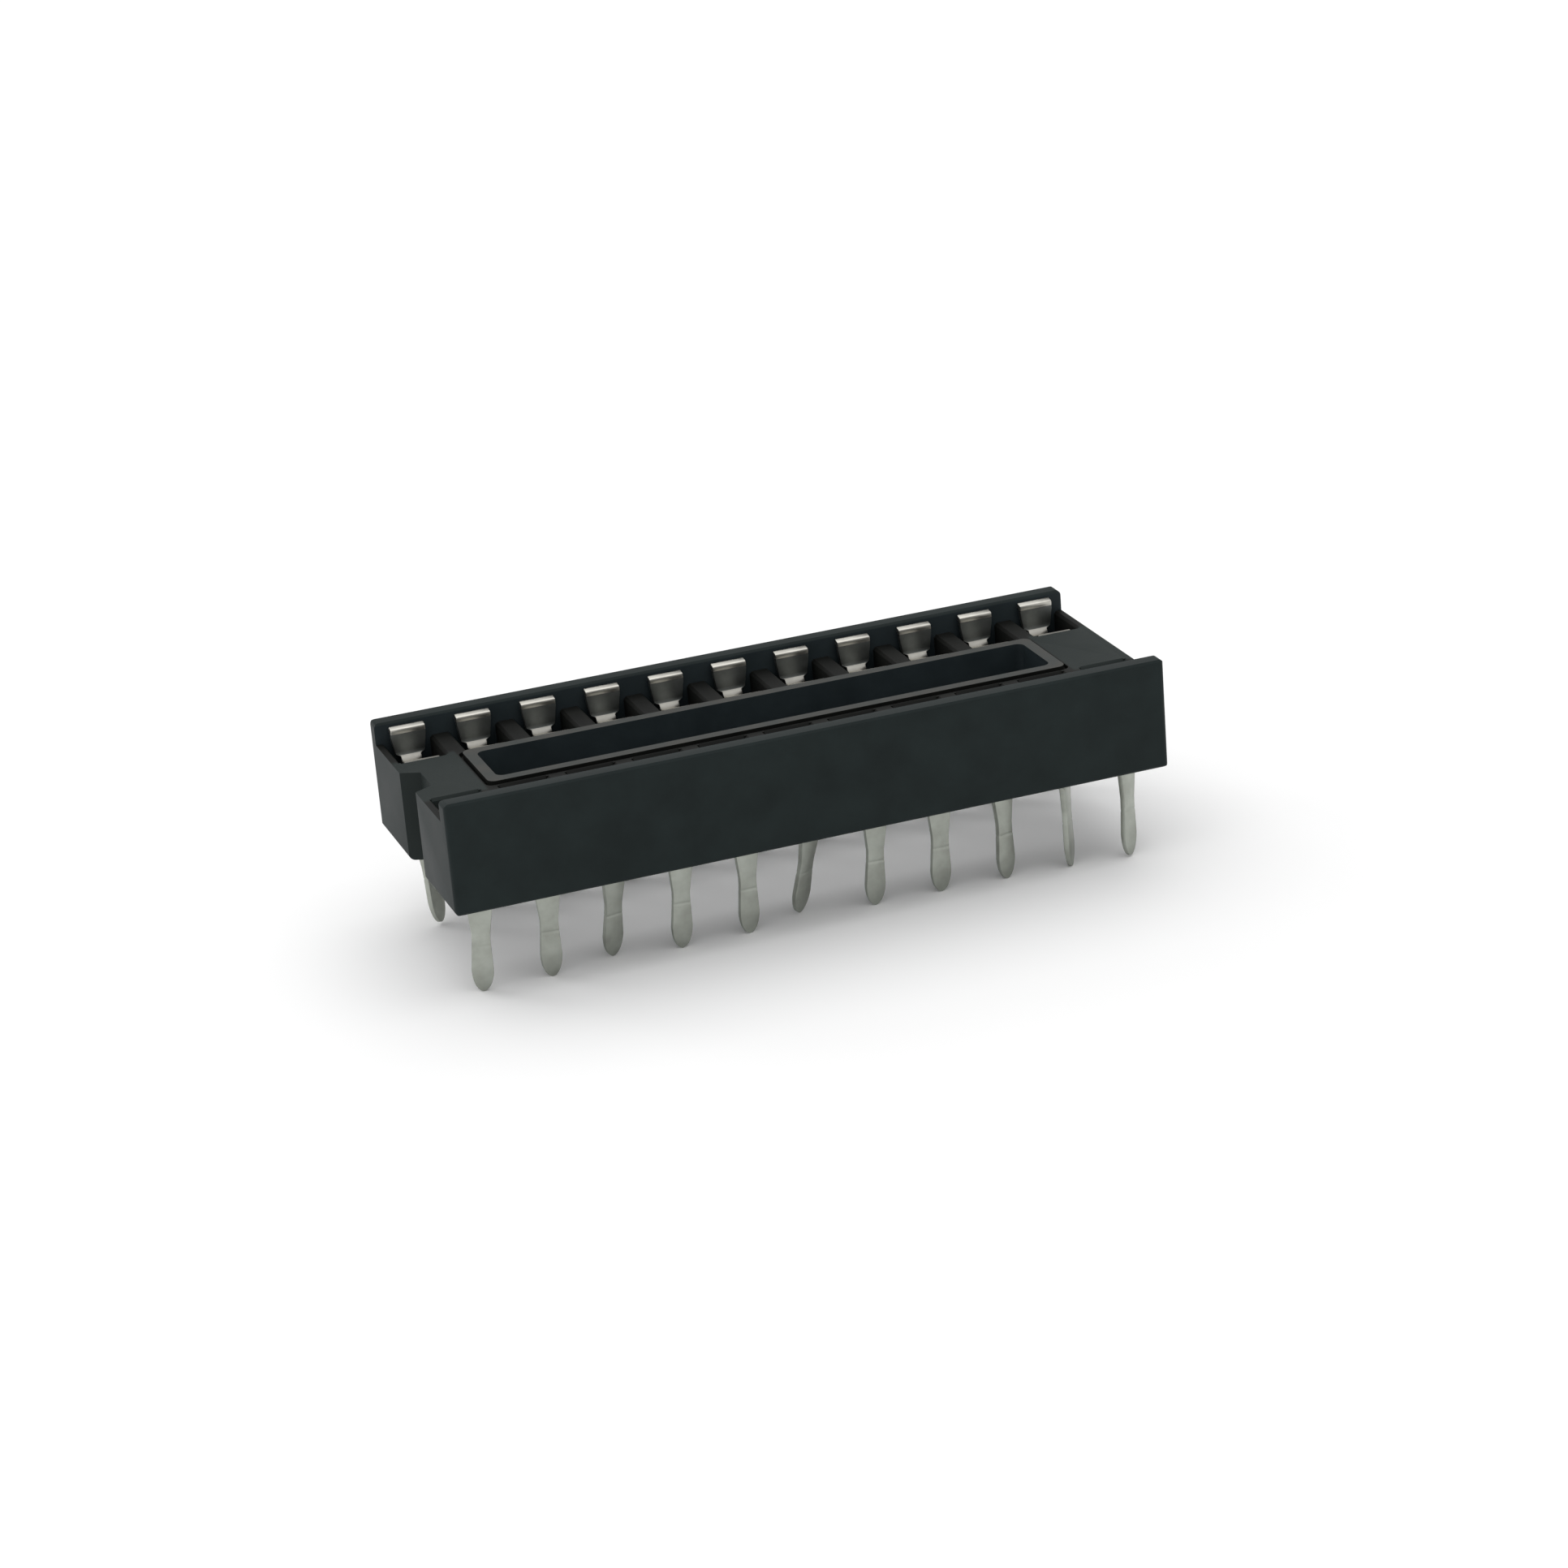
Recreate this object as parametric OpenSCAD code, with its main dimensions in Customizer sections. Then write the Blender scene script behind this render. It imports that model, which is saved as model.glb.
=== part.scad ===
// Dual-leaf DIP socket with an open frame, for through-hole soldering.
// One black moulding holds two rows of stamped contacts.
// X runs along the rows, Y across them and Z up; the origin is in the plane of the tail tips,
// below the middle of the housing.

/* [Layout] */
// Contacts in each row
contacts_per_row = 11; // [7:1:14]
// Distance between neighbouring contacts
pitch = 2.54; // [2.3:0.01:3]
// Distance between the two rows of tails
row_spacing = 7.62; // [6.6:0.01:15.24]
// How much shorter than its whole pitches the housing is, so that sockets stand end to end
stack_gap = 0.14; // [0:0.01:0.3]

/* [Housing] */
// From a row of tails to the outer face of the housing
side_margin = 1.27; // [1.2:0.01:1.6]
// Height of the outer walls over the underside
housing_h = 4.25; // [4.1:0.05:5]
// Thickness of the two outer walls
wall_t = 0.7; // [0.5:0.01:0.75]
// Drop from the top of the outer walls to the shelf that the chip rests on
shelf_drop = 0.82; // [0.6:0.01:1.1]
// Thickness of the floor below the contacts
floor_t = 0.6; // [0.4:0.05:0.8]
// Bevel along the top and bottom of the housing's two long sides
edge_bevel = 0.08; // [0.02:0.01:0.15]
// Radius of the housing's corners, in plan and in side view
corner_r = 0.2; // [0.1:0.02:0.3]

/* [Window] */
// Plastic left between each end of the housing and the window
bridge_len = 3; // [2.4:0.05:4]
// Radius of the corners of the window, its rim and the groove
window_r = 0.3; // [0.2:0.05:1]
// Width of the raised rim round the window
rim_w = 0.44; // [0.2:0.02:0.46]
// Height of the rim over the shelf
rim_h = 0.1; // [0.05:0.01:0.25]
// Width of the groove outside the rim
groove_w = 0.12; // [0.08:0.01:0.13]
// Depth of the groove
groove_d = 0.15; // [0.05:0.01:0.3]

/* [Notch] */
// Width of the orientation notch in the first end, at its mouth
notch_w = 2.2; // [1.2:0.1:2.6]
// Width of the notch's flat inner wall
notch_inner_w = 1.5; // [0.4:0.1:2.6]
// Depth of the notch, into the bridge
notch_depth = 0.7; // [0.3:0.05:1]

/* [Cavities] */
// Width of each contact cavity, along the row
cavity_w = 1.76; // [1.6:0.01:1.85]
// Reach of each cavity inwards from the outer wall
cavity_reach = 2.28; // [2.2:0.01:2.3]
// Plastic between the cavities and the window
inner_wall_t = 0.7; // [0.7:0.01:1]
// Bevel round the mouth of each cavity
mouth_bevel = 0.1; // [0.05:0.01:0.2]

/* [Contact] */
// Thickness of the contact strip
sheet_t = 0.22; // [0.15:0.01:0.25]
// Width of the leaves at their free ends
leaf_w = 1.34; // [1.2:0.01:1.5]
// Width of the outer leaf at the foot of its flat panel
panel_w = 1.13; // [1:0.01:1.2]
// Width of the leaves where they wipe the lead
wipe_w = 0.78; // [0.6:0.01:0.9]
// Free gap between the two leaves of an empty contact
wipe_gap = 0.12; // [0.06:0.01:0.2]
// Drop from the top of the wall to the lip of the outer leaf
lip_drop = 0.17; // [0.1:0.01:0.3]
// Drop from the shelf to the top of the inner leaf
inner_leaf_drop = 0.1; // [0:0.01:0.2]
// Drop from the shelf to the point where both leaves wipe the lead
wipe_depth = 0.68; // [0.55:0.01:0.9]
// Stand-off of the outer leaf's flat panel from the wall behind it
panel_gap = 0.1; // [0.08:0.01:0.14]
// Rise of the lip, back from the panel to the wall
lip_rise = 0.08; // [0:0.01:0.1]
// Clearance between the contact and the walls of its cavity
contact_gap = 0.03; // [0.01:0.01:0.05]

/* [Tail] */
// Length of the tails below the housing
tail_len = 3.55; // [2.5:0.05:4.5]
// Width of the shoulder where the tail leaves the housing
shoulder_w = 0.9; // [0.75:0.01:1]
// Width of the neck
neck_w = 0.67; // [0.45:0.01:0.72]
// Width of the paddle between the neck and the tip
paddle_w = 0.8; // [0.65:0.01:0.9]
// Length of the rounded tip
tip_len = 0.85; // [0.4:0.05:1.2]
// Clearance round the tail in the floor of the cavity
slot_gap = 0.08; // [0.04:0.01:0.12]

/* [Hidden] */
housing_l = contacts_per_row * pitch - stack_gap;
housing_w = row_spacing + 2 * side_margin;
underside = tail_len;
wall_top = underside + housing_h;
shelf = wall_top - shelf_drop;
cavity_floor = underside + floor_t;
row_y = row_spacing / 2;
wall_in_y = housing_w / 2 - wall_t;
cavity_in_y = wall_in_y - cavity_reach;
window_l = housing_l - 2 * bridge_len;
window_w = 2 * (cavity_in_y - inner_wall_t);
// Height at which the two leaves wipe the lead
wipe_z = shelf - wipe_depth;
// How far a cutting solid runs past the face that it cuts
past = 0.5;
// Steps of each bend in the strip and of each rounded tip
bend_steps = 4;
tip_steps = 6;
// Run of the strip on each side of a bend, along the leaves and at the base
leaf_bend = 0.13;
// Inner leg of the strip, measured inwards from the row, and the height of both legs over the floor
inner_leg_in = 0.7;
leg_h = 0.75;
// Foot of the outer leaf's flat panel, over the wiping point
panel_foot = 0.25;
// Where the leaves narrow: the tongue's top over the wiping point, the inner leaf's full width below
// the shelf, and over the cavity floor the full width of the legs and the tongue's lower end
tongue_top = 0.14;
inner_full_drop = 0.3;
leg_full_h = 0.6;
tongue_foot_h = 1;
// Distances below the housing, along the tail: the end of the twist, the two ends of the neck
twist_end = 0.45;
neck_start = 0.38 * tail_len;
neck_end = 0.46 * tail_len;
$fn = 48;

// How handling has left each tail, in degrees: its turn about its own length, its lean along the row
// towards +X, and its tilt outwards, away from the other row
near_turn = [-12, 0, 16, 4, 8, 28, 6, 4, 20, 52, 32];
near_lean = [-3, -2, -3, -3.5, -2, -8, -3.5, -2, -1, -1, -5];
near_tilt = [0, 0, -9, 0, 0, -11, -1, 0, 2, 5, 10];
far_turn = [40, 6, -8, 4, 0, 12, -6, 8, 2, -10, 6];
far_lean = [2, -1, 0, 1, -1, 0, 1, 0, -1, 1, 0];
far_tilt = [-14, 2, 0, -3, 1, 0, -2, 3, 0, -1, 2];

// Contacts are counted round the socket from the notched end, as a chip's leads are
contact_count = 2 * contacts_per_row;
function two_digits(n) = str(n < 10 ? "0" : "", n);
function contact_name(n) = str("contact_", two_digits(n));

function unit(v) = v / norm(v);
function across(v) = unit([-v[1], v[0]]);
function spun(v, a) = [v[0] * cos(a) - v[1] * sin(a), v[0] * sin(a) + v[1] * cos(a)];

// The arc that rounds one corner b of a path from a to c, starting at a distance run from it
function bend(a, b, c, run) =
    let (u = unit(a - b), w = unit(c - b), half = acos(u * w) / 2)
    let (centre = b + unit(u + w) * run / cos(half), spoke = b + run * u - centre)
    let (swing = (180 - 2 * half) * sign(u[1] * w[0] - u[0] * w[1]))
    [for (i = [0:bend_steps]) centre + spun(spoke, swing * i / bend_steps)];

// A path with every corner rounded
function bent(path, run) =
    let (last = len(path) - 1)
    [path[0], for (i = [1:last - 1]) each bend(path[i - 1], path[i], path[i + 1], run), path[last]];

// A path moved sideways by d
function beside(path, d) =
    let (last = len(path) - 1)
    [for (i = [0:last]) path[i] + d * across(path[min(i + 1, last)] - path[max(i - 1, 0)])];

// The closed outline of a strip of sheet that follows a path
function strip(path, t) =
    let (right = beside(path, -t / 2), last = len(path) - 1)
    concat(beside(path, t / 2), [for (i = [0:last]) right[last - i]]);

// A rectangle with its four corners cut at 45 degrees
function bevelled(x0, x1, y0, y1, b) = [
    [x0 + b, y0], [x1 - b, y0], [x1, y0 + b], [x1, y1 - b],
    [x1 - b, y1], [x0 + b, y1], [x0, y1 - b], [x0, y0 + b]];

// Extrusions of an outline drawn in the end view, along X, and in the side view, along Y
module along_x(length) {
    rotate([90, 0, 90]) linear_extrude(height = length, center = true) children();
}
module along_y(y0, y1) {
    translate([0, y1, 0]) rotate([90, 0, 0]) linear_extrude(height = y1 - y0) children();
}

// A rectangle with round corners, and a block of that plan, both centred
module round_rect(l, w, r) {
    square([l - 2 * r, w], center = true);
    square([l, w - 2 * r], center = true);
    for (x = [-1, 1], y = [-1, 1]) translate([x * (l / 2 - r), y * (w / 2 - r)]) circle(r);
}
module round_block(l, w, r, z0, z1) {
    translate([0, 0, z0]) linear_extrude(height = z1 - z0) round_rect(l, w, r);
}

// ---------------------------------------------------------------- housing

// End view: two outer walls that stand over the shelf between them
module end_profile() {
    difference() {
        polygon(bevelled(-housing_w / 2, housing_w / 2, underside, wall_top, edge_bevel));
        polygon([
            [-wall_in_y, shelf], [wall_in_y, shelf],
            [wall_in_y, wall_top - edge_bevel], [wall_in_y + edge_bevel + past, wall_top + past],
            [-wall_in_y - edge_bevel - past, wall_top + past], [-wall_in_y, wall_top - edge_bevel]]);
    }
}

// Side view: a plain block with round corners
module side_profile() {
    translate([0, underside + housing_h / 2]) round_rect(housing_l, housing_h, corner_r);
}

// Plan: round corners, and the notch that marks the end with the first contact
module plan_profile() {
    difference() {
        round_rect(housing_l, housing_w, corner_r);
        translate([-housing_l / 2, 0]) polygon([
            [-past, -notch_w / 2], [0, -notch_w / 2], [notch_depth, -notch_inner_w / 2],
            [notch_depth, notch_inner_w / 2], [0, notch_w / 2], [-past, notch_w / 2]]);
    }
}

module housing_blank() {
    intersection() {
        along_x(housing_l) end_profile();
        along_y(-housing_w / 2, housing_w / 2) side_profile();
        translate([0, 0, underside]) linear_extrude(height = housing_h) plan_profile();
    }
}

// The pocket of one contact, cut from the shelf down, with its tail slot; drawn for the far row
module contact_cavity() {
    translate([-cavity_w / 2, cavity_in_y, cavity_floor])
        cube([cavity_w, cavity_reach, shelf - cavity_floor + past]);
    // Bevels on the two sides and on the inner edge of the mouth
    along_y(cavity_in_y, wall_in_y) polygon([
        [-cavity_w / 2, shelf - mouth_bevel], [cavity_w / 2, shelf - mouth_bevel],
        [cavity_w / 2 + 2 * mouth_bevel, shelf + mouth_bevel],
        [-cavity_w / 2 - 2 * mouth_bevel, shelf + mouth_bevel]]);
    along_x(cavity_w) polygon([
        [cavity_in_y + mouth_bevel, shelf - mouth_bevel], [cavity_in_y + mouth_bevel, shelf + mouth_bevel],
        [cavity_in_y - 2 * mouth_bevel, shelf + mouth_bevel], [cavity_in_y, shelf - mouth_bevel]]);
    // Slot in the floor for the tail
    translate([0, row_y, underside]) linear_extrude(height = 4 * floor_t, center = true)
        square([shoulder_w + 2 * slot_gap, sheet_t + 2 * slot_gap], center = true);
}

module housing() {
    color("#262b2c") difference() {
        union() {
            difference() {
                housing_blank();
                round_block(window_l + 2 * (rim_w + groove_w), window_w + 2 * (rim_w + groove_w),
                    window_r, shelf - groove_d, shelf + past);
            }
            round_block(window_l + 2 * rim_w, window_w + 2 * rim_w, window_r,
                shelf - groove_d, shelf + rim_h);
        }
        round_block(window_l, window_w, window_r, underside - past, wall_top);
        for (turned = [0, 180], i = [0:contacts_per_row - 1])
            rotate([0, 0, turned]) translate([(i - (contacts_per_row - 1) / 2) * pitch, 0, 0])
                contact_cavity();
    }
}

// ---------------------------------------------------------------- contacts

// Centre line of the strip in the end view: down the outer leaf from its lip, across the base
// on the cavity floor, and up the inner leaf
lip_z = wall_top - lip_drop - sheet_t / 2;
panel_y = wall_in_y - panel_gap - sheet_t / 2;
base_z = cavity_floor + sheet_t / 2;
leg_y = wall_in_y - contact_gap - sheet_t / 2;
inner_leg_y = row_y - inner_leg_in;
inner_top_y = cavity_in_y + contact_gap + sheet_t;
wipe_offset = (wipe_gap + sheet_t) / 2;
panel_foot_z = wipe_z + panel_foot;
strip_path = [
    [wall_in_y, lip_z],
    [panel_y, lip_z - lip_rise],
    [panel_y, panel_foot_z],
    [row_y + wipe_offset, wipe_z],
    [leg_y, cavity_floor + leg_h],
    [leg_y, base_z],
    [inner_leg_y, base_z],
    [inner_leg_y, cavity_floor + leg_h],
    [row_y - wipe_offset, wipe_z],
    [inner_top_y, shelf - inner_leaf_drop - sheet_t / 2]];

// Half widths and heights of each leaf's edge, from full width down to its narrow wiping tongue
outer_edge = [
    [leaf_w / 2, lip_z - lip_rise - sheet_t], [panel_w / 2, panel_foot_z], [wipe_w / 2, wipe_z + tongue_top]];
inner_edge = [[leaf_w / 2, shelf - inner_full_drop], [wipe_w / 2, wipe_z + tongue_top]];
root_edge = [[wipe_w / 2, cavity_floor + tongue_foot_h], [leaf_w / 2, cavity_floor + leg_full_h]];

// What is trimmed off both sides of a leaf
module leaf_trim(edge, y0, y1) {
    outside = leaf_w / 2 + past;
    for (side = [-1, 1]) along_y(y0, y1) polygon([
        for (e = edge) [side * e[0], e[1]],
        [side * outside, edge[len(edge) - 1][1]], [side * outside, edge[0][1]]]);
}

module leaves() {
    difference() {
        along_x(leaf_w) polygon(strip(bent(strip_path, leaf_bend), sheet_t));
        leaf_trim(concat(outer_edge, root_edge), row_y, wall_in_y);
        leaf_trim(concat(inner_edge, root_edge), cavity_in_y, row_y);
        // The lip ends just short of the wall
        translate([-leaf_w, wall_in_y - contact_gap, cavity_floor])
            cube([2 * leaf_w, past, wall_top - cavity_floor]);
    }
}

// Half outline of the tail below its twist: shoulder, neck, paddle and rounded tip
blade_half = [
    [shoulder_w / 2, -twist_end], [neck_w / 2, -neck_start], [neck_w / 2, -neck_end],
    for (i = [0:tip_steps]) let (a = 90 * i / tip_steps)
        [paddle_w / 2 * cos(a), tip_len - tail_len - tip_len * sin(a)]];
function mirrored(half) =
    concat(half, [for (i = [len(half) - 2:-1:0]) [-half[i][0], half[i][1]]]);

// The flat solder tail; just below the housing it takes up its turn, lean and tilt
module tail(turn, lean, tilt) {
    translate([-shoulder_w / 2, row_y - sheet_t / 2, underside])
        cube([shoulder_w, sheet_t, base_z - underside]);
    translate([0, row_y, underside]) rotate([tilt, -lean, 0]) {
        rotate([0, 0, turn]) translate([0, 0, -twist_end])
            linear_extrude(height = twist_end, twist = turn, slices = 6, segments = 4)
                square([shoulder_w, sheet_t], center = true);
        rotate([0, 0, turn]) along_y(-sheet_t / 2, sheet_t / 2) polygon(mirrored(blade_half));
    }
}

// One stamped contact, by its number round the socket
module contact(n) {
    near = n <= contacts_per_row;
    place = near ? n - 1 : contact_count - n;
    turn = near ? near_turn[place % len(near_turn)] : far_turn[place % len(far_turn)];
    lean = near ? -near_lean[place % len(near_lean)] : far_lean[place % len(far_lean)];
    tilt = near ? near_tilt[place % len(near_tilt)] : far_tilt[place % len(far_tilt)];
    color("#c9c8c0") translate([(place - (contacts_per_row - 1) / 2) * pitch, 0, 0])
        rotate([0, 0, near ? 180 : 0]) {
            leaves();
            tail(turn, lean, tilt);
        }
}

housing();
for (n = [1:contact_count])
    contact(n);
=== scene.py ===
"""Open-frame chip socket: a black moulded housing and its stamped, tin-plated contacts."""

import math

import bmesh
import bpy
from mathutils import Matrix, Vector


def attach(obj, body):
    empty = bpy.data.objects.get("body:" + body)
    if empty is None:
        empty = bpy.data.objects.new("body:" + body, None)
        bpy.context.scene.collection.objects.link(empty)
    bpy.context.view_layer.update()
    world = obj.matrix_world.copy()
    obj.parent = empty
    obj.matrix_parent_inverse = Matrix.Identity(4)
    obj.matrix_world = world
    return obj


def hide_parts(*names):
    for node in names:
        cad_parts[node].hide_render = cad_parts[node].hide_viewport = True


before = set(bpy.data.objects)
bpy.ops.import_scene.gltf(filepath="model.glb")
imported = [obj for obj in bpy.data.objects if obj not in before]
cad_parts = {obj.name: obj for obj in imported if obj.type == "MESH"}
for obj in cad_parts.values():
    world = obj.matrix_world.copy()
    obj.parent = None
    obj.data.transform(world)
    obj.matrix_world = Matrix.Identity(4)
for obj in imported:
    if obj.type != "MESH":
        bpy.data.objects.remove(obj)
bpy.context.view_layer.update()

MM = 0.001

# The housing, in millimetres. Heights count from the tips of the solder tails.
PITCH = 2.54
ROW_SPACING = 7.62
ROW_Y = ROW_SPACING / 2
PER_ROW = 11
UNDERSIDE = 3.55
WALL_TOP = 7.8
SHELF = 6.98
CAVITY_FLOOR = 4.15
WALL_IN_Y = 4.38  # inner face of a long wall
CAVITY_IN_Y = 2.1  # inner wall of a row's cavities
RIM_END_X = 11.46  # outer edge of the rim round the window
WINDOW_END_X = 10.9
WINDOW_SIDE_Y = 1.4
END_SKIN_X = 13.8  # a face centred beyond this is part of an end
ON_PLANE = 0.01  # how far from a plane a face's centre still counts as on it
BRIDGE_FADE_X = 0.08  # how softly the painted light on the shelf's ends sets in, along and across
BRIDGE_FADE_Y = 0.25
MOULD_ROUNDING = 0.03

# The strip of a contact, in millimetres. Its path runs through the middle of the sheet.
SHEET = 0.22
CLEARANCE = 0.03  # between the strip and the walls of its cavity
PANEL_GAP = 0.1  # between the flat of the outer leaf and the wall behind it
LIP_DROP = 0.17  # from the top of the wall to the top of the lip
LIP_Z = WALL_TOP - LIP_DROP - SHEET / 2
LIP_END_DROP = 0.01
LIP_RISE = 0.05
LIP_END_Y = WALL_IN_Y - CLEARANCE
PANEL_Y = WALL_IN_Y - PANEL_GAP - SHEET / 2
PANEL_TOP_Z = 7.36  # top and foot of the outer leaf's flat
PANEL_FOOT_Z = 6.55
WIPE_Z = 6.3  # where both leaves wipe a chip's lead
WIPE_OFFSET = 0.17  # of each leaf from the row there
TONGUE_TOP_Z = WIPE_Z + 0.14
TONGUE_FOOT_Z = CAVITY_FLOOR + 1
LEG_FULL_Z = CAVITY_FLOOR + 0.6  # the legs have their full width below this
LEG_TOP_Z = CAVITY_FLOOR + 0.75
LEG_Y = WALL_IN_Y - CLEARANCE - SHEET / 2
INNER_LEG_Y = ROW_Y - 0.7
BASE_Z = CAVITY_FLOOR + SHEET / 2
INNER_FULL_Z = SHELF - 0.3  # the inner leaf has its full width above this
INNER_TIP_Y = CAVITY_IN_Y + CLEARANCE + SHEET
INNER_TIP_Z = SHELF - 0.1 - SHEET / 2
LEAF_W = 1.34
PANEL_W = 1.13
TONGUE_W = 0.78
BEND_RUN = 0.13  # how far from its corner a bend starts
BEND_STEPS = 10
LONGEST_STEP = 0.04  # along the strip
EDGE_R = 0.035  # rounding of the stamped edges
COINED_FLAT = 0.015  # what is left off the tip of a coined corner

# The tail of a contact, in millimetres, measured down from the housing
TAIL_LEN = UNDERSIDE
TAIL_ROOT = 0.6  # how far the tail reaches up through the floor to the base of the strip
SHOULDER_W = 0.9
NECK_W = 0.67
PADDLE_W = 0.8
TIP_LEN = 0.85
TWIST_END = 0.45
NECK_START = 0.38 * TAIL_LEN
NECK_END = 0.46 * TAIL_LEN
CREASE_DROP = 1.8
CREASE_REACH = 0.07
CREASE_DEPTH = 0.03
TIP_THINNING = 0.06

# How handling has left each tail, in degrees: its turn about its own length, its lean along the row
# towards +X, and its tilt outwards, away from the other row
NEAR_TURN = (-12, 0, 16, 4, 8, 28, 6, 4, 20, 52, 32)
NEAR_LEAN = (-3, -2, -3, -3.5, -2, -8, -3.5, -2, -1, -1, -5)
NEAR_TILT = (0, 0, -9, 0, 0, -11, -1, 0, 2, 5, 10)
FAR_TURN = (40, 6, -8, 4, 0, 12, -6, 8, 2, -10, 6)
FAR_LEAN = (2, -1, 0, 1, -1, 0, 1, 0, -1, 1, 0)
FAR_TILT = (-14, 2, 0, -3, 1, 0, -2, 3, 0, -1, 2)


def stand(name, data):
    """Adds an object with this mesh, light or camera, at the origin."""
    made = bpy.data.objects.new(name, data)
    bpy.context.scene.collection.objects.link(made)
    return made


def srgb(code):
    """A hex colour as linear red, green, blue and alpha."""
    channels = [int(code[i : i + 2], 16) / 255 for i in (1, 3, 5)]
    linear = [c / 12.92 if c <= 0.04045 else ((c + 0.055) / 1.055) ** 2.4 for c in channels]
    return (*linear, 1.0)


def add(tree, kind, settings=None, **inputs):
    """Adds a node. Settings are its own options, and each input is a value or another node's output.
    An input is named as its socket is, with _ for a space, or in_0, in_1 for its place in the list."""
    made = tree.nodes.new(kind)
    for name, value in (settings or {}).items():
        setattr(made, name, value)
    for name, value in inputs.items():
        key = int(name[3:]) if name.startswith("in_") else name.replace("_", " ")
        socket = made.inputs[key]
        if isinstance(value, bpy.types.NodeSocket):
            tree.links.new(value, socket)
        else:
            socket.default_value = value
    return made


def new_material(name):
    """A material with nothing in its node tree, and that tree."""
    made = bpy.data.materials.new(name)
    made.use_nodes = True
    made.node_tree.nodes.clear()
    return made, made.node_tree


def stops(ramp, *pairs):
    """Sets a colour ramp to (position, hex colour) pairs."""
    elements = ramp.color_ramp.elements
    while len(elements) > 1:
        elements.remove(elements[-1])
    for k, (position, code) in enumerate(pairs):
        stop = elements[0] if k == 0 else elements.new(position)
        stop.position = position
        stop.color = srgb(code)


def moulded_polyester(name, colours, rough, grain, relief, bridge=None):
    """Black glass-filled polyester, injection moulded: near black, with a soft gloss and a faint mottle
    from the glass. The grain is the mould's own finish. Its size is in millimetres, and it is drawn
    coarser than it is, so that it shows. With a bridge colour, the two ends of the shelf, between the
    rows and outside the rim, take that colour. It is painted light, and the rest of the shelf keeps its
    darker colour as painted shade."""
    mottle_size = 1.4 * MM
    grain_depth = 0.012 * MM
    mat, tree = new_material(name)
    place = add(tree, "ShaderNodeTexCoord").outputs["Object"]
    mottle = add(tree, "ShaderNodeTexNoise", in_0=place, Scale=1 / mottle_size, Detail=5.0)
    grit = add(tree, "ShaderNodeTexNoise", in_0=place, Scale=1 / (grain * MM), Detail=2.0)
    colour = add(tree, "ShaderNodeValToRGB", Fac=mottle.outputs["Fac"])
    stops(colour, (0.3, colours[0]), (0.7, colours[1]))
    shade = colour.outputs["Color"]
    sheen = add(
        tree, "ShaderNodeMapRange", Value=mottle.outputs["Fac"], To_Min=rough[0], To_Max=rough[1])
    # Painted light: the shelf's two ends take the lighter bridge colour, and the rest of the shelf stays
    # darker as painted shade.
    if bridge:
        where = add(tree, "ShaderNodeSeparateXYZ", in_0=place).outputs
        along = add(tree, "ShaderNodeMath", {"operation": "ABSOLUTE"}, in_0=where["X"])
        across = add(tree, "ShaderNodeMath", {"operation": "ABSOLUTE"}, in_0=where["Y"])
        outside = add(
            tree, "ShaderNodeMapRange", Value=along.outputs[0], From_Min=RIM_END_X * MM,
            From_Max=(RIM_END_X + BRIDGE_FADE_X) * MM)
        between = add(
            tree, "ShaderNodeMapRange", Value=across.outputs[0],
            From_Min=(CAVITY_IN_Y + BRIDGE_FADE_Y) * MM, From_Max=CAVITY_IN_Y * MM)
        share = add(
            tree, "ShaderNodeMath", {"operation": "MULTIPLY"},
            in_0=outside.outputs["Result"], in_1=between.outputs["Result"])
        painted_light_mix = add(
            tree, "ShaderNodeMix", {"data_type": "RGBA"},
            in_0=share.outputs[0], in_6=shade, in_7=srgb(bridge))
        shade = painted_light_mix.outputs[2]
    bump = add(tree, "ShaderNodeBump", Height=grit.outputs["Fac"], Strength=relief, Distance=grain_depth)
    skin = add(
        tree, "ShaderNodeBsdfPrincipled", Base_Color=shade, Roughness=sheen.outputs["Result"],
        Normal=bump.outputs["Normal"], IOR=1.5, Specular_IOR_Level=0.1)
    add(tree, "ShaderNodeOutputMaterial", Surface=skin.outputs["BSDF"])
    return mat


def tin_plate(name, colours, rough, streak):
    """Phosphor bronze strip, stamped, then plated with tin: a soft, slightly clouded white metal. Fine
    drawing marks run down the strip, drawn coarser than they are, so that they show."""
    cloud_size = 0.6 * MM
    mark_size = 0.05 * MM
    mark_depth = 0.004 * MM
    mark_squeeze = 0.08  # makes the marks long and thin
    mat, tree = new_material(name)
    place = add(tree, "ShaderNodeTexCoord").outputs["Object"]
    cloud = add(tree, "ShaderNodeTexNoise", in_0=place, Scale=1 / cloud_size, Detail=4.0)
    along = add(tree, "ShaderNodeMapping", Vector=place, Scale=(1.0, 1.0, mark_squeeze))
    marks = add(tree, "ShaderNodeTexNoise", in_0=along.outputs["Vector"], Scale=1 / mark_size, Detail=2.0)
    colour = add(tree, "ShaderNodeValToRGB", Fac=cloud.outputs["Fac"])
    stops(colour, (0.3, colours[0]), (0.7, colours[1]))
    sheen = add(
        tree, "ShaderNodeMapRange", Value=cloud.outputs["Fac"], To_Min=rough[0], To_Max=rough[1])
    bump = add(tree, "ShaderNodeBump", Height=marks.outputs["Fac"], Strength=streak, Distance=mark_depth)
    skin = add(
        tree, "ShaderNodeBsdfPrincipled", Base_Color=colour.outputs["Color"], Metallic=1.0,
        Roughness=sheen.outputs["Result"], Normal=bump.outputs["Normal"])
    add(tree, "ShaderNodeOutputMaterial", Surface=skin.outputs["BSDF"])
    return mat


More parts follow.
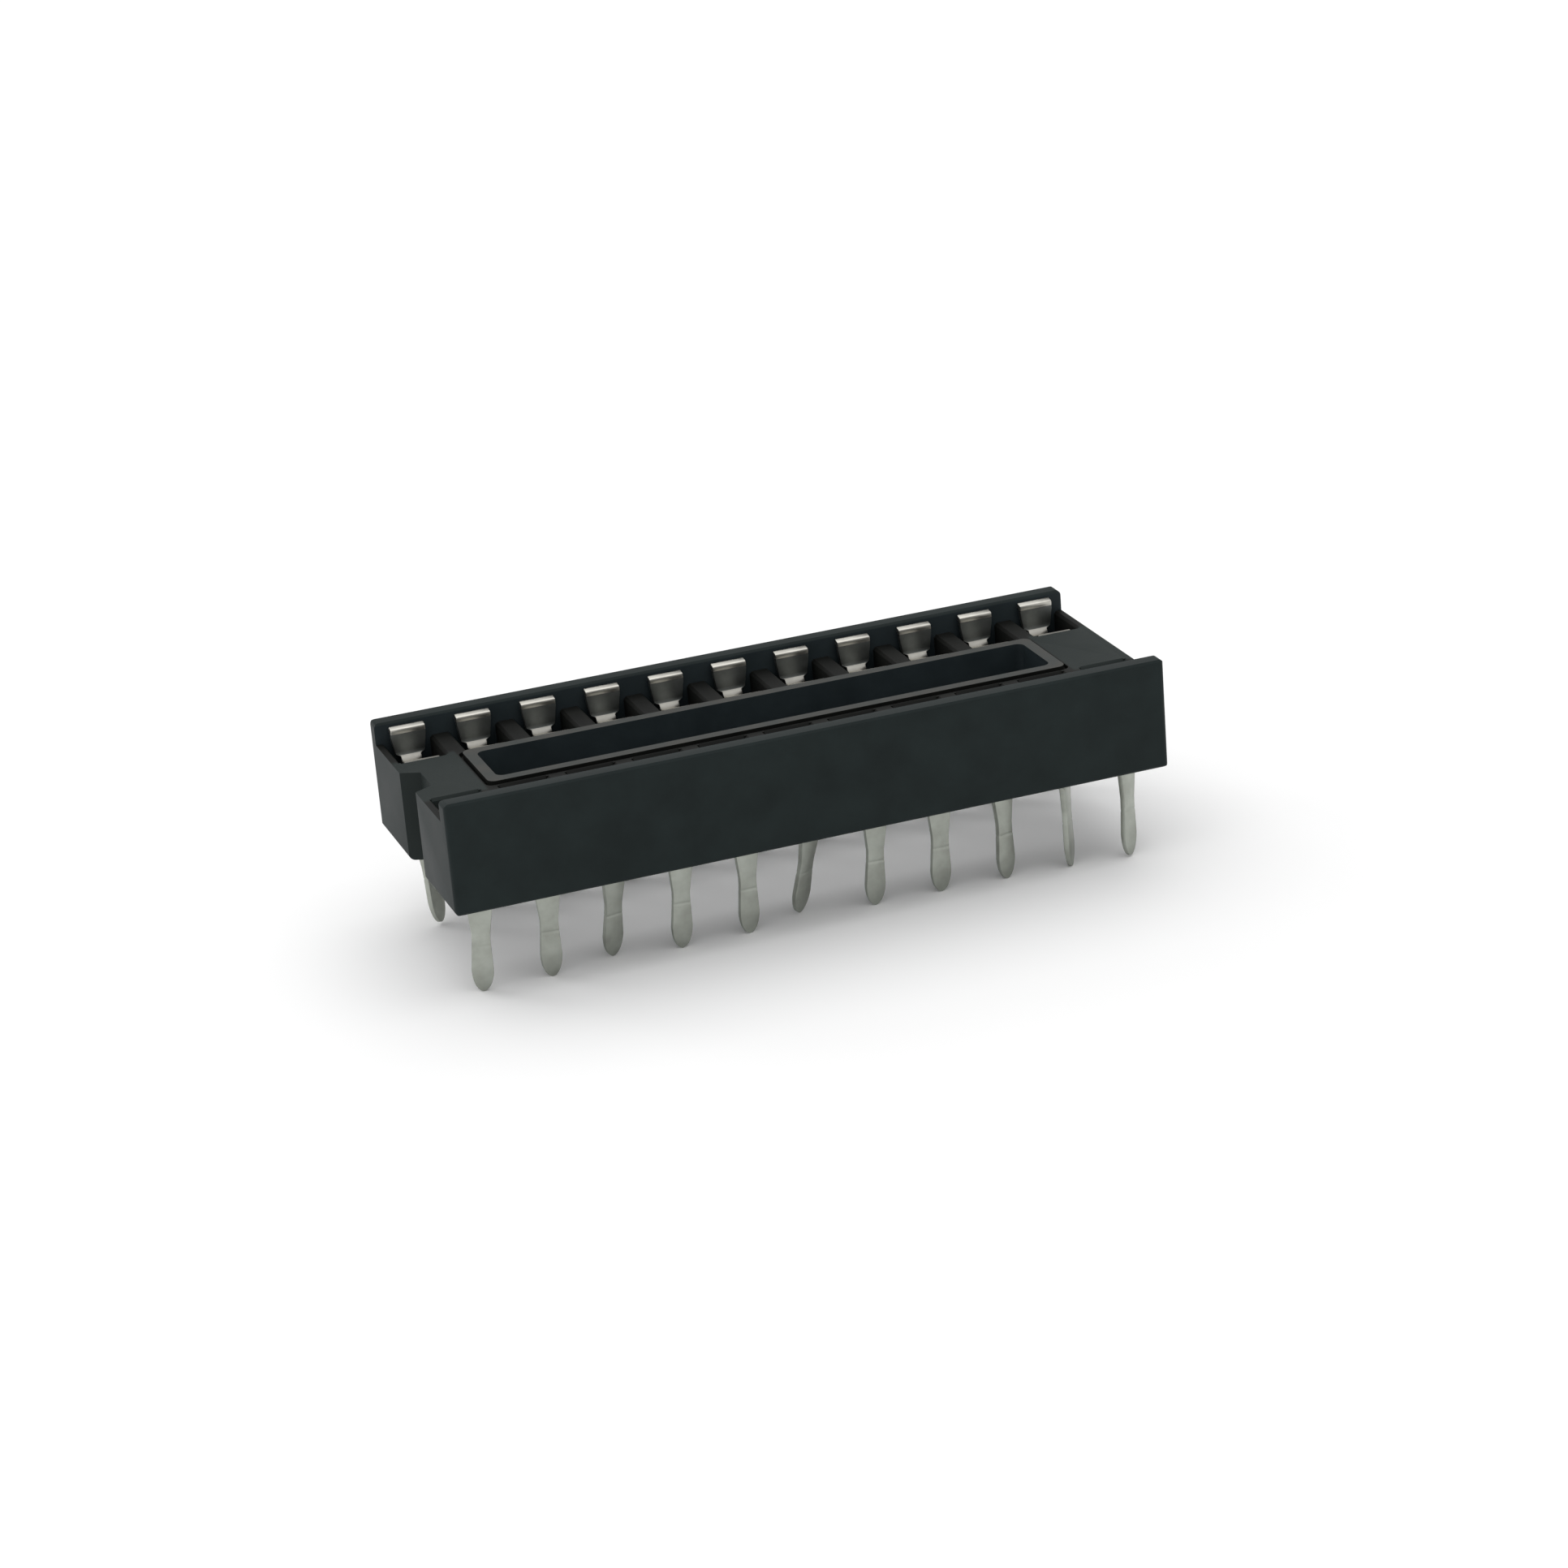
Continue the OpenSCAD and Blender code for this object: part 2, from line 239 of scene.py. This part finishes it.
def backdrop_paper():
    """Matt white paper, which throws soft light back without a gleam."""
    mat, tree = new_material("white_paper_sweep")
    skin = add(tree, "ShaderNodeBsdfPrincipled", Base_Color=srgb("#fafafa"), Roughness=0.9)
    add(tree, "ShaderNodeOutputMaterial", Surface=skin.outputs["BSDF"])
    return mat


# The housing's skins. Smooth faces leave the outer walls even and dark. The shelf is more textured, and
# its colour is painted shade, darker for the shade that falls over the cavities and partitions, with its
# two ends painted lighter for the light that falls there. The rim is painted lighter, a painted highlight
# along its raised edges, and has a finer grain. Polished cores give the sides of the window, and the
# walls behind the leaves, a cooler tone and a little more gloss.
WALL_SKIN = moulded_polyester("moulded_polyester_smooth", ("#1a2121", "#202828"), (0.46, 0.58), 0.08, 0.12)
# The shelf: its darker colours are painted shade, and its lighter bridge colour is painted light.
SHELF_SKIN = moulded_polyester(
    "moulded_polyester_textured_painted_shade", ("#131413", "#191a18"), (0.5, 0.62), 0.05, 0.35, bridge="#262c2b")
# The rim: a painted highlight, a lighter tone for the light its raised edges catch.
RIM_SKIN = moulded_polyester("moulded_polyester_rim", ("#3a3e3d", "#474643"), (0.44, 0.56), 0.06, 0.2)
WINDOW_SKIN = moulded_polyester("moulded_polyester_window", ("#242b2e", "#2b3336"), (0.4, 0.5), 0.08, 0.12)
HOUSING_SKINS = (WALL_SKIN, SHELF_SKIN, RIM_SKIN, WINDOW_SKIN)

# Bright tin as it was plated; darker on the flats of the outer leaves, painted shade for the dark pocket
# they face and reflect; and on the tails dulled by handling, and painted darker for the shade they reflect
BRIGHT_TIN = tin_plate("tin_plate_bright", ("#b0aea7", "#c5c3bb"), (0.26, 0.36), 0.15)
PAINTED_SHADE_TIN = tin_plate("tin_plate_painted_shade", ("#636664", "#737674"), (0.44, 0.54), 0.2)
DULLED_SHADED_TIN = tin_plate("tin_plate_dulled_shaded", ("#9a9d95", "#adb1a9"), (0.34, 0.46), 0.3)


# ---------------------------------------------------------------- housing


def skin_of(face):
    """Which skin a face of the housing has, of mould finishes and painted light and shade, as its place in
    HOUSING_SKINS.
    """
    x, y, z = abs(face.center.x) / MM, abs(face.center.y) / MM, face.center.z / MM
    if y > WALL_IN_Y + ON_PLANE or x > END_SKIN_X or z < UNDERSIDE + ON_PLANE:
        return HOUSING_SKINS.index(WALL_SKIN)
    if z > SHELF + 2 * ON_PLANE and y < CAVITY_IN_Y:
        return HOUSING_SKINS.index(RIM_SKIN)
    upright = abs(face.normal.z) < 0.5
    in_window = x < WINDOW_END_X + ON_PLANE and y < WINDOW_SIDE_Y + ON_PLANE
    behind_leaves = y > WALL_IN_Y - ON_PLANE
    if upright and (in_window or behind_leaves):
        return HOUSING_SKINS.index(WINDOW_SKIN)
    return HOUSING_SKINS.index(SHELF_SKIN)


def housing_piece():
    """The moulded housing, with its edges rounded as the mould leaves them."""
    weld = 0.001 * MM
    level = math.radians(0.5)
    sharp = math.radians(30)
    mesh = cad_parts["housing"].data.copy()
    mesh.name = "socket_housing"
    work = bmesh.new()
    work.from_mesh(mesh)
    bmesh.ops.remove_doubles(work, verts=work.verts, dist=weld)
    bmesh.ops.dissolve_limit(
        work, angle_limit=level, verts=work.verts, edges=work.edges, delimit={"NORMAL"})
    work.to_mesh(mesh)
    work.free()
    mesh.materials.clear()
    for skin in HOUSING_SKINS:
        mesh.materials.append(skin)
    for face in mesh.polygons:
        face.material_index = skin_of(face)
    piece = stand("socket_housing", mesh)
    rounding = piece.modifiers.new("mould_rounding", "BEVEL")
    rounding.width = MOULD_ROUNDING * MM
    rounding.segments = 2
    rounding.limit_method = "ANGLE"
    rounding.angle_limit = sharp
    rounding.harden_normals = True
    mesh.shade_smooth()
    mesh.set_sharp_from_angle(angle=sharp)
    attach(piece, "root")
    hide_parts("housing")


housing_piece()

# ---------------------------------------------------------------- contacts


def arc(before, corner, after, run, coined=False):
    """The arc that rounds one corner of the strip's path, as (point, thickness outside it) pairs.
    A coined corner is squeezed almost square on its outside."""
    u, w = (before - corner).normalized(), (after - corner).normalized()
    half = u.angle(w) / 2
    centre = corner + (u + w).normalized() * (run / math.cos(half))
    spoke = corner + u * run - centre
    swing = (math.pi - 2 * half) * math.copysign(1, u.y * w.x - u.x * w.y)
    middle, outside = abs(swing) / 2, spoke.length + SHEET / 2
    made = []
    for i in range(BEND_STEPS + 1):
        share = i / BEND_STEPS
        reach = outside
        if coined:
            square = outside / math.cos(middle - abs(share - 0.5) * 2 * middle)
            reach = min(square, outside / math.cos(middle) - COINED_FLAT)
        made.append((centre + spoke @ Matrix.Rotation(-swing * share, 2), reach - spoke.length))
    return made


def divided(path, step):
    """The same path with no leg longer than the step."""
    made = [path[0]]
    for (a, out_a), (b, out_b) in zip(path, path[1:]):
        count = max(1, math.ceil((b - a).length / step))
        for i in range(1, count + 1):
            made.append((a.lerp(b, i / count), out_a + (out_b - out_a) * i / count))
    return made


def between_knots(value, *knots):
    """Follows (place, amount) knots, from the highest place down."""
    if value >= knots[0][0]:
        return knots[0][1]
    for (p0, a0), (p1, a1) in zip(knots, knots[1:]):
        if value >= p1:
            return a0 + (a1 - a0) * (p0 - value) / (p0 - p1)
    return knots[-1][1]


def leaf_width(y, z):
    """Width of the strip: full at the lips and the base, narrow where the leaves wipe the lead."""
    root = ((TONGUE_FOOT_Z, TONGUE_W), (LEG_FULL_Z, LEAF_W))
    if y > ROW_Y:
        panel = ((LIP_Z - LIP_RISE - SHEET, LEAF_W), (PANEL_FOOT_Z, PANEL_W), (TONGUE_TOP_Z, TONGUE_W))
        return between_knots(z, *panel, *root)
    return between_knots(z, (INNER_FULL_Z, LEAF_W), (TONGUE_TOP_Z, TONGUE_W), *root)


def rounded_section(width, thick):
    """Twelve points round a rounded rectangle, as (across the strip, through it)."""
    w, t = width / 2 - EDGE_R, thick / 2 - EDGE_R
    corners = ((w, t, 0), (-w, t, 90), (-w, -t, 180), (w, -t, 270))
    return [
        (x + EDGE_R * math.cos(math.radians(a + k)), y + EDGE_R * math.sin(math.radians(a + k)))
        for x, y, a in corners for k in (0, 45, 90)]


def loft(work, rings):
    """Skins a list of closed rings of points and caps both ends."""
    made = [[work.verts.new(p * MM) for p in ring] for ring in rings]
    for a, b in zip(made, made[1:]):
        for k in range(len(a)):
            work.faces.new((a[k], a[k - 1], b[k - 1], b[k]))
    work.faces.new(made[0])
    work.faces.new(list(reversed(made[-1])))


def strip_rings():
    """Rings along the strip: down the outer leaf, across the base and up the inner leaf."""
    corners = [Vector(p) for p in (
        (LIP_END_Y, LIP_Z - LIP_END_DROP), (PANEL_Y, LIP_Z - LIP_RISE), (PANEL_Y, PANEL_FOOT_Z),
        (ROW_Y + WIPE_OFFSET, WIPE_Z), (LEG_Y, LEG_TOP_Z), (LEG_Y, BASE_Z),
        (INNER_LEG_Y, BASE_Z), (INNER_LEG_Y, LEG_TOP_Z), (ROW_Y - WIPE_OFFSET, WIPE_Z),
        (INNER_TIP_Y, INNER_TIP_Z))]
    path = [(corners[0], SHEET / 2)]
    for before, corner, after in zip(corners, corners[1:], corners[2:]):
        path += arc(before, corner, after, BEND_RUN, coined=corner is corners[1])
    path = divided(path + [(corners[-1], SHEET / 2)], LONGEST_STEP)
    rings = []
    for k, (p, outside) in enumerate(path):
        along = (path[min(k + 1, len(path) - 1)][0] - path[max(k - 1, 0)][0]).normalized()
        out = Vector((-along.y, along.x))
        section = rounded_section(leaf_width(p.x, p.y), SHEET / 2 + outside)
        middle = (SHEET / 2 - outside) / 2
        rings.append([
            Vector((x, p.x + out.x * (d + middle), p.y + out.y * (d + middle))) for x, d in section])
    return rings


def tail_rings():
    """Rings down the flat tail: shoulder, neck, paddle and rounded tip, with a faint crease across it."""
    twist_steps = 6
    shank_steps = 60
    tip_angles = (10, 20, 30, 40, 50, 60, 70, 78, 84)
    tip_start = TAIL_LEN - TIP_LEN
    shank = tip_start - TWIST_END
    drops = [-TAIL_ROOT, -TAIL_ROOT / 2, 0]
    drops += [TWIST_END * i / twist_steps for i in range(1, twist_steps + 1)]
    drops += [TWIST_END + shank * i / shank_steps for i in range(1, shank_steps + 1)]
    drops += [tip_start + TIP_LEN * math.sin(math.radians(angle)) for angle in tip_angles]
    rings = []
    for drop in drops:
        width = between_knots(
            -drop, (-TWIST_END, SHOULDER_W), (-NECK_START, NECK_W), (-NECK_END, NECK_W),
            (-tip_start, PADDLE_W))
        into_tip = max(0.0, drop - tip_start) / TIP_LEN
        crease = max(0.0, 1 - abs(drop - CREASE_DROP) / CREASE_REACH)
        thick = SHEET - CREASE_DEPTH * crease - TIP_THINNING * into_tip
        section = rounded_section(width * math.sqrt(1 - into_tip * into_tip), thick)
        rings.append([Vector((x, ROW_Y + d, UNDERSIDE - drop)) for x, d in reversed(section)])
    return rings


def straight_contact():
    """One contact of the far row, in the middle of the row, with a straight tail."""
    work = bmesh.new()
    loft(work, strip_rings())
    loft(work, tail_rings())
    bmesh.ops.recalc_face_normals(work, faces=work.faces)
    mesh = bpy.data.meshes.new("straight_contact")
    work.to_mesh(mesh)
    work.free()
    mesh.shade_smooth()
    mesh.set_sharp_from_angle(angle=math.radians(35))
    return mesh


def placing_tree():
    """Geometry Nodes: turns, tilts and leans the tail, stands the contact in its place and gives it its
    three tin materials: bright tin, the flats of the outer leaves painted darker as painted shade, and the
    tails dulled and painted darker as painted shade. The twist grows from the housing down to its end."""
    tree = bpy.data.node_groups.new("contact_placing", "GeometryNodeTree")
    sockets = {}
    for name, kind in (
            ("Geometry", "NodeSocketGeometry"), ("Place", "NodeSocketFloat"), ("Facing", "NodeSocketFloat"),
            ("Turn", "NodeSocketFloat"), ("Lean", "NodeSocketFloat"), ("Tilt", "NodeSocketFloat")):
        sockets[name] = tree.interface.new_socket(name, in_out="INPUT", socket_type=kind).identifier
    tree.interface.new_socket("Geometry", in_out="OUTPUT", socket_type="NodeSocketGeometry")
    given = add(tree, "NodeGroupInput").outputs
    here = add(tree, "GeometryNodeInputPosition").outputs["Position"]
    parts = add(tree, "ShaderNodeSeparateXYZ", in_0=here).outputs
    height = parts["Z"]
    outer = add(tree, "ShaderNodeMath", {"operation": "GREATER_THAN"}, in_0=parts["Y"], in_1=ROW_Y * MM)
    flat = add(
        tree, "ShaderNodeMath", {"operation": "COMPARE"}, in_0=height,
        in_1=(PANEL_TOP_Z + PANEL_FOOT_Z) / 2 * MM, in_2=(PANEL_TOP_Z - PANEL_FOOT_Z) / 2 * MM)
    leaf = add(
        tree, "ShaderNodeMath", {"operation": "MULTIPLY"}, in_0=outer.outputs[0], in_1=flat.outputs[0])
    share = add(
        tree, "ShaderNodeMapRange", Value=height, From_Min=UNDERSIDE * MM,
        From_Max=(UNDERSIDE - TWIST_END) * MM, To_Min=0.0, To_Max=1.0).outputs["Result"]
    turn = add(tree, "ShaderNodeMath", {"operation": "MULTIPLY"}, in_0=share, in_1=given["Turn"])
    turned = add(
        tree, "ShaderNodeVectorRotate", {"rotation_type": "Z_AXIS"}, Vector=here,
        Center=(0, ROW_Y * MM, 0), Angle=turn.outputs[0])
    below = add(tree, "ShaderNodeMath", {"operation": "LESS_THAN"}, in_0=height, in_1=UNDERSIDE * MM)
    tilt = add(tree, "ShaderNodeMath", {"operation": "MULTIPLY"}, in_0=below.outputs[0], in_1=given["Tilt"])
    tilted = add(
        tree, "ShaderNodeVectorRotate", {"rotation_type": "X_AXIS"}, Vector=turned.outputs[0],
        Center=(0, ROW_Y * MM, UNDERSIDE * MM), Angle=tilt.outputs[0])
    lean = add(tree, "ShaderNodeMath", {"operation": "MULTIPLY"}, in_0=below.outputs[0], in_1=given["Lean"])
    leant = add(
        tree, "ShaderNodeVectorRotate", {"rotation_type": "Y_AXIS"}, Vector=tilted.outputs[0],
        Center=(0, ROW_Y * MM, UNDERSIDE * MM), Angle=lean.outputs[0])
    bent = add(tree, "GeometryNodeSetPosition", Geometry=given["Geometry"], Position=leant.outputs[0])
    shift = add(tree, "ShaderNodeCombineXYZ", X=given["Place"])
    spin = add(tree, "ShaderNodeCombineXYZ", Z=given["Facing"])
    stood = add(
        tree, "GeometryNodeTransform", Geometry=bent.outputs[0],
        Translation=shift.outputs[0], Rotation=spin.outputs[0])
    real = add(tree, "GeometryNodeRealizeInstances", Geometry=stood.outputs[0])
    bright = add(tree, "GeometryNodeSetMaterial", Geometry=real.outputs[0], Material=BRIGHT_TIN)
    # The flats of the outer leaves take the darker tin: painted shade, for the dark pocket they face and
    # reflect.
    dark = add(
        tree, "GeometryNodeSetMaterial", Geometry=bright.outputs[0],
        Selection=leaf.outputs[0], Material=PAINTED_SHADE_TIN)
    # The tails take the dulled tin: rougher from handling, and painted darker as painted shade for the
    # shade they reflect.
    dull = add(
        tree, "GeometryNodeSetMaterial", Geometry=dark.outputs[0],
        Selection=below.outputs[0], Material=DULLED_SHADED_TIN)
    add(tree, "NodeGroupOutput", Geometry=dull.outputs[0])
    return tree, sockets


def contact_pieces():
    """All the contacts, counted round the socket from the notched end, as a chip's leads are."""
    straight = straight_contact()
    tree, sockets = placing_tree()
    for number in range(1, 2 * PER_ROW + 1):
        near = number <= PER_ROW
        place = number - 1 if near else 2 * PER_ROW - number
        lean = -NEAR_LEAN[place] if near else FAR_LEAN[place]
        values = {
            "Place": (place - (PER_ROW - 1) / 2) * PITCH * MM, "Facing": math.pi if near else 0.0,
            "Turn": math.radians((NEAR_TURN if near else FAR_TURN)[place]), "Lean": -math.radians(lean),
            "Tilt": math.radians((NEAR_TILT if near else FAR_TILT)[place])}
        name = f"socket_contact_{number:02d}"
        base = stand(name + "_base", straight)
        growth = base.modifiers.new("placing", "NODES")
        growth.node_group = tree
        for key, value in values.items():
            growth[sockets[key]] = value
        grown = base.evaluated_get(bpy.context.evaluated_depsgraph_get())
        mesh = bpy.data.meshes.new_from_object(grown)
        mesh.name = name
        bpy.data.objects.remove(base)
        piece = stand(name, mesh)
        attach(piece, "root")
        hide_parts(f"contact_{number:02d}")


contact_pieces()

# ---------------------------------------------------------------- stage, light and camera

FLOOR_HALF = 2.0  # metres
SUBJECT = Vector((0.0, 0.0, 0.005))  # what the lights aim at, in metres

floor_mesh = bpy.data.meshes.new("paper_floor")
floor_mesh.from_pydata(
    [(x * FLOOR_HALF, y * FLOOR_HALF, 0) for x, y in ((-1, -1), (1, -1), (1, 1), (-1, 1))],
    [], [(0, 1, 2, 3)])
floor_mesh.materials.append(backdrop_paper())
floor = stand("paper_floor", floor_mesh)


def softbox(name, place, side, watts):
    """A square white studio light, aimed at the socket. Its side and place are in metres."""
    data = bpy.data.lights.new(name, "AREA")
    data.shape = "SQUARE"
    data.size = side
    data.energy = watts
    made = stand(name, data)
    made.location = place
    made.rotation_mode = "QUATERNION"
    made.rotation_quaternion = (SUBJECT - Vector(place)).to_track_quat("-Z", "Y")


softbox("overhead", (0.0, 0.15, 1.0), 1.5, 6.5)
softbox("key_back_left", (-0.3, 0.32, 0.2), 0.12, 0.17)

world = bpy.data.worlds.new("studio")
bpy.context.scene.world = world
world.use_nodes = True
world.node_tree.nodes.clear()
sky = add(world.node_tree, "ShaderNodeBackground", Color=srgb("#ffffff"), Strength=0.72)
add(world.node_tree, "ShaderNodeOutputWorld", Surface=sky.outputs["Background"])


def camera():
    """A long lens, left of the front and a little above, tilted a few degrees."""
    azimuth, elevation, roll = (math.radians(angle) for angle in (-18.618, 21.119, -4.806))
    distance = 153.983 * MM
    target = Vector((0.415, 0, UNDERSIDE + 0.39)) * MM
    level = math.cos(elevation)
    back = Vector((math.sin(azimuth) * level, -math.cos(azimuth) * level, math.sin(elevation)))
    right = (-back).cross(Vector((0, 0, 1))).normalized()
    up = right.cross(-back)
    tilted_right = right * math.cos(roll) + up * math.sin(roll)
    tilted_up = -right * math.sin(roll) + up * math.cos(roll)
    data = bpy.data.cameras.new("camera")
    data.sensor_width = 36
    data.lens = 94.386
    data.clip_start = 0.01
    data.clip_end = 10
    made = stand("camera", data)
    turn = Matrix((tilted_right, tilted_up, back)).transposed()
    made.matrix_world = Matrix.Translation(target + back * distance) @ turn.to_4x4()
    bpy.context.scene.camera = made


camera()

# The plain tone curve, so that white paper comes out white
bpy.context.scene.view_settings.view_transform = "Standard"
